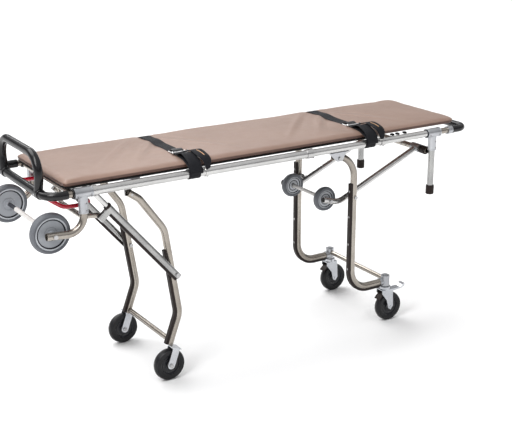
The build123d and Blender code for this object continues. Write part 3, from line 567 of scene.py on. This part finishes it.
def build_mattress():
    blank = bpy.data.objects.new("mattress_pad", pad_blank())
    bpy.context.scene.collection.objects.link(blank)
    remesh = blank.modifiers.new("voxels", "REMESH")
    remesh.mode = "VOXEL"
    remesh.voxel_size = 0.0055
    graph = bpy.context.evaluated_depsgraph_get()
    blank.data = bpy.data.meshes.new_from_object(blank.evaluated_get(graph))
    blank.modifiers.clear()
    mesh = blank.data
    points = read_points(mesh)
    share = np.clip((points[:, 2] - PAD_LOW.z) / PAD_WALL, 0, 1)
    lift = np.array([crown_height(x, y) for x, y in points[:, :2]])
    points[:, 2] += share * lift
    mesh.vertices.foreach_set("co", points.ravel())
    points = swell(blank, 0.0055)
    share = np.clip((points[:, 2] - PAD_LOW.z - 0.003) / 0.008, 0, 1)
    points[:, 2] += share * creases(points)
    points[:, 2] = np.clip(points[:, 2], PAD_LOW.z + 0.0002, PAD_HIGH.z + 0.008)
    points[:, 1] = np.clip(points[:, 1], PAD_LOW.y, PAD_HIGH.y)
    points[:, 0] = np.clip(points[:, 0], PAD_LOW.x, PAD_HIGH.x)
    mesh.vertices.foreach_set("co", points.ravel())
    mesh.update()
    fine = blank.modifiers.new("fine", "SUBSURF")
    fine.levels = fine.render_levels = 1
    # the pad's side, below the top piping, gets the darker copy of the vinyl: painted shade
    mesh.materials.append(MATERIALS["brown_vinyl"])
    mesh.materials.append(MATERIALS["brown_edge"])
    for polygon in mesh.polygons:
        polygon.use_smooth = True
        polygon.material_index = int(polygon.center.z < PAD_LOW.z + PIPING["top"][0])
    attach(blank, "frame")
    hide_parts("mattress")
    return blank, points


def edge_line(points, height, outset):
    """A closed line round the pad's side at a height, following where its side stands."""
    middle = (PAD_LOW + PAD_HIGH) / 2
    half_x, half_y = (PAD_HIGH.x - PAD_LOW.x) / 2, (PAD_HIGH.y - PAD_LOW.y) / 2
    side = points[np.abs(points[:, 2] - height) < 0.004]
    reach_y = np.percentile(np.abs(side[:, 1] - middle.y), 90) - half_y + outset
    reach_x = np.percentile(np.abs(side[:, 0] - middle.x), 99.5) - half_x + outset
    line = []
    for sx, sy, start in ((1, 1, 0), (-1, 1, 90), (-1, -1, 180), (1, -1, 270)):
        corner = PAD_CORNERS[sx] + 0.003
        cx, cy = middle.x + sx * (half_x + reach_x - corner), middle.y + sy * (half_y + reach_y - corner)
        for k in range(7):
            angle = math.radians(start + 15 * k)
            line.append(Vector((cx + corner * math.cos(angle), cy + corner * math.sin(angle), height)))
    dense = []
    for here, there in zip(line, line[1:] + line[:1]):
        parts = max(1, int((there - here).length / 0.02))
        dense += [here.lerp(there, k / parts) for k in range(parts)]
    return dense


def build_piping(points):
    # both cords get the darker copy of the vinyl: painted shade
    for name, (height, radius) in PIPING.items():
        line = edge_line(points, PAD_LOW.z + height, 0.0002)
        cord = swept(line, round_outline(radius, 10), (0, 0, 1), closed=True)
        piece(f"mattress_piping_{name}", cord, "frame", ("brown_edge",), sharp=180)


# ------------------------------------------------------------------ straps and buckles
def surface_of(pad):
    """A function that gives the height of the pad's top at a place."""
    graph = bpy.context.evaluated_depsgraph_get()
    tree = BVHTree.FromObject(pad, graph)

    def height(x, y):
        hit, *_ = tree.ray_cast(Vector((x, y, 1.0)), Vector((0, 0, -1)))
        return hit.z if hit else PAD_LOW.z + 0.004

    return height


def rail_wrap(x, side, radius, start, end, count=14):
    """Points round a rail, angles from straight up, turning outwards and under."""
    return [Vector((x, side * (RAIL_Y + radius * math.sin(math.radians(a))),
                    RAIL_Z + radius * math.cos(math.radians(a))))
            for a in np.linspace(start, end, count)]


def strap_band(name, points, width=0.048, thick=WEBBING_THICK, tip=1.0, fineness=4):
    """Webbing along points, its last part narrowed to a tip of that share of its width."""
    outline = band_outline(width, thick)
    line = smooth_route(points, fineness)
    mesh = swept(line, outline, (1, 0, 0))
    cut = 2 * fineness
    for back in range(cut):
        share = tip + (1 - tip) * (back / cut) ** 0.6
        row = len(line) - 1 - back
        for vertex in mesh.vertices[row * len(outline):(row + 1) * len(outline)]:
            vertex.co.x = line[row].x + (vertex.co.x - line[row].x) * share
    return piece(name, mesh, "frame", ("black_webbing",), sharp=60)


def build_strap(end, height):
    """One strap: far run, near run folded into a loop, rail wraps and a loose tail."""
    x, edge = STRAP_X[end], PAD_HIGH.y
    near = x - 0.020
    rail_r = (RAIL_R if end == "load" else INNER_RAIL_R) + 0.0022

    def lie(y, rise=WEBBING_RISE):
        """A point of the webbing on the pad, where its run slants from x at the far edge to near."""
        share = min(1.0, max(0.0, (edge - y) / (edge - PAD_LOW.y)))
        top = max(height(x + dx, y) for dx in (-WEBBING_HALF, 0, WEBBING_HALF))
        return Vector((x + (near - x) * share, y, top + rise))

    def by_edge(along, out, up):
        """A point beside the pad's near edge, where it meets the bed."""
        return Vector((near + along, PAD_LOW.y - out, PAD_LOW.z + up))

    def by_rail(along, out, up):
        """A point beside the near rail's axis."""
        return Vector((near + along, -RAIL_Y - out, RAIL_Z + up))

    far = list(reversed(rail_wrap(x, 1, rail_r, 60, 330)))
    over = [Vector((x, RAIL_Y + 0.012, RAIL_Z + 0.024)), Vector((x, edge + 0.0045, PAD_LOW.z + 0.009))]
    far_run = [lie(y) for y in (edge - 0.012, 0.19, 0.14, 0.09, 0.04, -0.01, -0.05, -0.081)]
    band = strap_band(f"strap_{end}_far_run", far + over + far_run)
    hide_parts(f"strap_{end}_end")
    near_run = [lie(-0.114, 0.004), lie(-0.135, 0.0045), lie(-0.155, 0.004), lie(-0.188, 0.0025),
                lie(-0.215), by_edge(0, 0.0035, 0.010), by_rail(0, 0.013, 0.023)]
    strap_band(f"strap_{end}_near_run", near_run + rail_wrap(near, -1, rail_r, 60, 330))
    fold = [lie(-0.148, 0.0065), lie(-0.163, 0.012), lie(-0.188, 0.021), lie(-0.211, 0.022),
            by_edge(0.004, 0.006, 0.021), by_rail(0.006, 0.021, 0.012), by_rail(0.006, 0.020, 0.002)]
    strap_band(f"strap_{end}_fold", fold, 0.052)
    tail = [lie(-0.136, 0.0085), lie(-0.152, 0.013), lie(-0.176, 0.024), lie(-0.199, 0.028)]
    tail = [p + Vector((0.004 + 0.011 * k, 0, 0)) for k, p in enumerate(tail)]
    tail += [by_edge(0.046, -0.004, 0.039), by_edge(0.054, 0.012, 0.022), by_rail(0.052, 0.021, 0.016)]
    strap_band(f"strap_{end}_tail", tail, 0.046, tip=0.3)
    mark = [tail[3] + Vector((0, 0, 0.0018)), tail[3].lerp(tail[4], 0.55) + Vector((0.004, 0, 0.003)),
            tail[4] + Vector((0.004, -0.003, 0.0024))]
    thread = swept(smooth_route(mark), band_outline(0.003, 0.0008), (1, 0, 0))
    piece(f"strap_{end}_stitch", thread, "frame", ("stitch_thread",))


def plate(line, width, thick):
    """Pressed plate with rounded ends, bent along a line, its width across X."""
    count = len(line)
    rows = []
    for index, point in enumerate(line):
        u = 2 * index / (count - 1) - 1
        rows.append(width * (1 - 0.16 * abs(u) ** 6))
    vertices, faces = [], []
    for index, point in enumerate(line):
        before, after = line[max(0, index - 1)], line[min(count - 1, index + 1)]
        outward = (after - before).cross(Vector((1, 0, 0))).normalized()
        for side in (-1, -0.5, 0, 0.5, 1):
            vertices.append(point + Vector((side * rows[index] / 2, 0, 0)) + outward * thick / 2)
        for side in (1, 0.5, 0, -0.5, -1):
            vertices.append(point + Vector((side * rows[index] / 2, 0, 0)) - outward * thick / 2)
    for index in range(count - 1):
        here, there = index * 10, index * 10 + 10
        faces += [(here + k, here + (k + 1) % 10, there + (k + 1) % 10, there + k) for k in range(10)]
    faces += [tuple(range(10)), tuple(reversed(range((count - 1) * 10, count * 10)))]
    mesh = mesh_from(vertices, faces)
    tidy = bmesh.new()
    tidy.from_mesh(mesh)
    bmesh.ops.recalc_face_normals(tidy, faces=tidy.faces)
    bmesh.ops.bevel(tidy, geom=[e for e in tidy.edges if e.calc_face_angle(0) > 0.9], offset=thick * 0.25,
                    segments=2, affect="EDGES")
    tidy.to_mesh(mesh)
    tidy.free()
    return mesh


def build_buckle(end, height):
    """Lift-lever buckle: ring round the webbing, chrome bar with a knob at each end, pressed lever."""
    x, y = STRAP_X[end] - 0.011, -0.108
    z = height(x, y) + 0.0048
    bar = [Vector((x + side * 0.031, y - 0.018, z + 0.003)) for side in (-1, 1)]
    rod = swept([bar[0].lerp(bar[1], k / 8) for k in range(9)], round_outline(0.0034, 14), (0, 0, 1))
    knobs = [dome(0.0062, 0.004, place, (side, 0, 0), 0.5) for place, side in zip(bar, (-1, 1))]
    made = piece(f"buckle_{end}_bar", joined([rod, *knobs]), "frame", ("buckle_steel", "dark_groove"))
    corners = [(-0.028, -0.020), (0.028, -0.020), (0.028, 0.026), (-0.028, 0.026)]
    loop = []
    for (ax, ay), (bx, by) in zip(corners, corners[1:] + corners[:1]):
        for k in (0.12, 0.5, 0.88):
            loop.append(Vector((x + ax + (bx - ax) * k, y + ay + (by - ay) * k, z)))
    frame_ring = smooth_route(loop + [loop[0], loop[1]], 3)[:-6]
    rim = swept(frame_ring, round_outline(0.0026, 10), (0, 0, 1), closed=True)
    piece(f"buckle_{end}_frame", rim, "frame", ("buckle_steel",), sharp=60)
    steps, length, rise = 10, 0.040, 0.0052
    arch = [Vector((x, y + 0.028 - length * k / (steps - 1),
                    z + 0.0035 + rise * math.sin(math.pi * min(1, k / (steps - 2))))) for k in range(steps)]
    piece(f"buckle_{end}_lever", plate(arch, 0.046, 0.0022), "frame", ("black_hub",))
    return made


def build_straps(pad):
    height = surface_of(pad)
    for end in ("load", "foot"):
        build_strap(end, height)
    first = [build_buckle(end, height) for end in ("load", "foot")]
    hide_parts("strap_buckles")


# ------------------------------------------------------------------ small fittings
def build_tee_fittings():
    """Screws in the corner tees, and the rings where tubes leave them."""
    heads, rings, seals = [], [], []
    for tee_x, tube_r, inward in ((LOAD_TEE_X, RAIL_R, 1), (FOOT_TEE_X, INNER_RAIL_R, -1)):
        for _, side in SIDES:
            out = Vector((0, side, 0))
            low = Vector((0, side * math.cos(0.35), -math.sin(0.35)))
            centre = Vector((tee_x, side * RAIL_Y, RAIL_Z))
            for dx in (-0.024, 0.024):
                heads.append(dome(0.0038, 0.0022, centre + Vector((dx, 0, 0)) + low * TEE_R, low))
            for dz in (-0.036, -0.062):
                seat = centre + Vector((0.004, 0, dz)) + out * (STEM_R - 0.0003)
                heads.append(dome(0.0038, 0.0022, seat, out))
            for end in (-1, 1):
                mouth = centre + Vector((end * TEE_HALF * 0.97, 0, 0))
                rings.append(ring(TEE_R, 0.0012, 0.005, mouth, (1, 0, 0)))
            rings.append(ring(STEM_R, 0.0010, 0.005, centre + Vector((0, 0, -STEM_DROP)), (0, 0, 1)))
            mouth = centre + Vector((inward * (TEE_HALF + 0.0022), 0, 0))
            seals.append(ring(tube_r + 0.0001, 0.0028, 0.004, mouth, (1, 0, 0)))
    piece("tee_screws", joined(heads), "frame", ("bolt_steel", "dark_groove"))
    piece("tee_rims", joined(rings), "frame", ("cast_silver",))
    piece("tee_seals", joined(seals), "frame", ("dark_groove",))


def build_rail_fittings():
    """Clamp screws on the rail collars, grip end rings and the black ends of the handle tubes."""
    collars = ((-0.757, RAIL_R + 0.003), (-0.307, RAIL_R + 0.003), (0.172, RAIL_R + 0.003),
               (0.519, INNER_RAIL_R + 0.004))  # place along the rail, outer radius
    heads = []
    for _, side in SIDES:
        down = Vector((0, side * 0.55, -0.83))
        for x, radius in collars:
            seat = Vector((x, side * RAIL_Y, RAIL_Z)) + down.normalized() * radius
            heads.append(dome(0.0036, 0.002, seat, down))
    piece("collar_screws", joined(heads), "frame", ("bolt_steel", "dark_groove"))
    grip_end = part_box("load_handle_bar")[0].x + 0.111
    lips = [ring(0.0154, 0.0022, 0.007, (grip_end, side * RAIL_Y, RAIL_Z), (1, 0, 0)) for _, side in SIDES]
    piece("load_grip_lips", joined(lips), "frame", ("black_grip",))
    grip_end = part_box("foot_handle_bar")[0].x + 0.0035
    lips = [ring(0.0149, 0.0020, 0.007, (grip_end, side * RAIL_Y, RAIL_Z), (1, 0, 0)) for _, side in SIDES]
    piece("foot_grip_lips", joined(lips), "foot_handle", ("black_grip",))


def build_loop_bosses():
    """Clamped feet of the hand loop on the end bar, with their screws."""
    low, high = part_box("load_handle_loop")
    x = (low.x + high.x) / 2
    bosses, heads = [], []
    for _, side in SIDES:
        y = side * (high.y - 0.027)
        bosses.append(ring(0.0157, 0.0030, 0.046, (x, y, RAIL_Z), (0, 1, 0)))
        heads.append(dome(0.004, 0.0022, (x - 0.0186, y, RAIL_Z - 0.003), (-1, 0, -0.1)))
    piece("loop_clamps", joined(bosses), "frame", ("black_grip",))
    piece("loop_clamp_screws", joined(heads), "frame", ("bolt_steel", "dark_groove"))


def build_strip_rivets():
    """Rivet heads down the load-side face of the leg bumpers."""
    low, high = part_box("rear_strips")
    face = low.x + 0.0002  # the rivets sit in the strips' outer face
    rear = [dome(0.0045, 0.0022, (face, side * (high.y - 0.010), z), (-1, 0, 0))
            for _, side in SIDES for z in (0.615, 0.505, 0.385, 0.275)]
    piece("rear_strip_rivets", joined(rear), "rear_leg", ("bolt_steel", "dark_groove"))


def build_strut_caps():
    """Black wiper rings at the mouths of the outer strut tubes."""
    top, foot = Vector((-0.753, 0, 0.812)), Vector((-0.427, 0, 0.430))  # the strut's two pivots
    along = (foot - top).normalized()
    mouth = top + along * 0.0865
    profile = [(0.0112, -0.001), (0.0142, -0.001), (0.0150, 0.0015), (0.0150, 0.006),
               (0.0137, 0.006), (0.0137, 0.0016), (0.0112, 0.0016)]
    strut_y = abs(centre_of("strut_inner_near").y)
    caps = [turned(profile, Vector((mouth.x, side * strut_y, mouth.z)), along, 40) for _, side in SIDES]
    piece("strut_wipers", joined(caps), "strut_outer", ("black_rubber",))


def build_cross_tube_fittings():
    """Black spacers by the posts and two screws on the load side of the foot cross tube."""
    heads = [dome(0.004, 0.0024, ARM_PIVOT + Vector((-0.0118, y, -0.002)), (-1, 0, -0.15))
             for y in (-0.095, -0.065, 0.065, 0.095)]
    piece("cross_tube_screws", joined(heads), "frame", ("bolt_steel", "dark_groove"))
    rings = [ring(0.01205, 0.0055, 0.030, ARM_PIVOT + Vector((0, side * 0.1995, 0)), (0, 1, 0))
             for _, side in SIDES]
    piece("cross_tube_spacers", joined(rings), "frame", ("black_rubber",))


def build_post_feet():
    """Ribbed rubber feet on the posts."""
    low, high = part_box("post_feet")
    radius, top, bottom = 0.0175, high.z, low.z
    outline = [(0.0, 0.0), (radius - 0.002, 0.0), (radius, 0.002)]
    count = 5
    pitch = (top - bottom - 0.008) / count
    for k in range(count):
        base = 0.003 + k * pitch
        outline += [(radius, base + pitch * 0.62), (radius - 0.0012, base + pitch * 0.72),
                    (radius - 0.0012, base + pitch * 0.92), (radius, base + pitch)]
    outline += [(radius - 0.001, top - bottom), (0.0138, top - bottom), (0.0138, 0.0065), (0.0, 0.0065)]
    feet = [turned(outline, Vector((FOOT_TEE_X, side * RAIL_Y, bottom)), (0, 0, 1), 40)
            for _, side in SIDES]
    piece("post_feet_ribbed", joined(feet), "frame", ("black_rubber",), replaces=("post_feet",))


# ------------------------------------------------------------------ surroundings
def build_floor():
    """A white floor that reaches past every view."""
    finish = Finish("floor_white", Roughness=0.9)
    finish.colour(finish.noise(2, 2), (0.95, 0.95, 0.95), (0.97, 0.97, 0.97))
    reach, drop = 40, -0.0005
    corners = [(x * reach, y * reach, drop) for x, y in ((-1, -1), (1, -1), (1, 1), (-1, 1))]
    mesh = mesh_from(corners, [(0, 1, 2, 3)])
    mesh.materials.append(finish.material)
    floor = bpy.data.objects.new("floor", mesh)
    bpy.context.scene.collection.objects.link(floor)


def area_light(name, place, target, size, power, tint=(1, 1, 1)):
    light = bpy.data.lights.new(name, "AREA")
    light.shape = "RECTANGLE"
    light.size, light.size_y = size
    light.energy = power
    light.color = tint
    lamp = bpy.data.objects.new(name, light)
    bpy.context.scene.collection.objects.link(lamp)
    lamp.location = place
    lamp.rotation_euler = (Vector(target) - Vector(place)).to_track_quat("-Z", "Y").to_euler()


def build_lights():
    """A bright studio: a white horizon, a dark band that gives the tubes their edges, a light top."""
    world = bpy.data.worlds.new("studio")
    world.use_nodes = True
    nodes, links = world.node_tree.nodes, world.node_tree.links
    split = nodes.new("ShaderNodeSeparateXYZ")
    links.new(nodes.new("ShaderNodeTexCoord").outputs["Generated"], split.inputs[0])
    bands = nodes.new("ShaderNodeValToRGB")
    ramp = bands.color_ramp
    ramp.elements[0].position, ramp.elements[0].color = 0.0, (0.95, 0.95, 0.95, 1)
    ramp.elements[1].position, ramp.elements[1].color = 0.90, (0.75, 0.75, 0.75, 1)
    for height, grey in ((0.09, 0.95), (0.14, 0.06), (0.27, 0.10), (0.42, 0.62)):
        ramp.elements.new(height).color = (grey, grey, grey * 1.02, 1)
    links.new(split.outputs["Z"], bands.inputs["Fac"])
    links.new(bands.outputs["Color"], nodes["Background"].inputs["Color"])
    nodes["Background"].inputs["Strength"].default_value = 1.0
    bpy.context.scene.world = world
    sun = bpy.data.lights.new("sky_panel", "SUN")
    sun.energy = 2.1
    sun.angle = math.radians(50)
    lamp = bpy.data.objects.new("sky_panel", sun)
    lamp.rotation_euler = (math.radians(-28), math.radians(-16), 0)
    bpy.context.scene.collection.objects.link(lamp)
    area_light("key", (-2.4, -1.2, 3.4), (0, 0, 0.6), (1.2, 2.6), 75)
    area_light("back", (0.8, 3.0, 2.6), (0, 0, 0.7), (3.0, 0.6), 20)
    bpy.context.scene.view_settings.view_transform = "Standard"


def build_camera():
    """The main view, fitted to the wheels, the rails and the bed."""
    data = bpy.data.cameras.new("camera")
    data.sensor_width = 36
    data.lens = 77.86
    camera = bpy.data.objects.new("camera", data)
    camera.location = (-2.2606, -3.6522, 1.9486)
    camera.rotation_euler = (math.radians(90 - 18.16), 0, math.radians(-32.49))
    bpy.context.scene.collection.objects.link(camera)
    bpy.context.scene.camera = camera


# ------------------------------------------------------------------ the trolley
paint_cad_nodes()
build_wheels()
mattress, pad_points = build_mattress()
build_piping(pad_points)
build_straps(mattress)
build_tee_fittings()
build_rail_fittings()
build_loop_bosses()
build_strip_rivets()
build_strut_caps()
build_cross_tube_fittings()
build_post_feet()
build_floor()
build_lights()
build_camera()

bpy.context.view_layer.update()
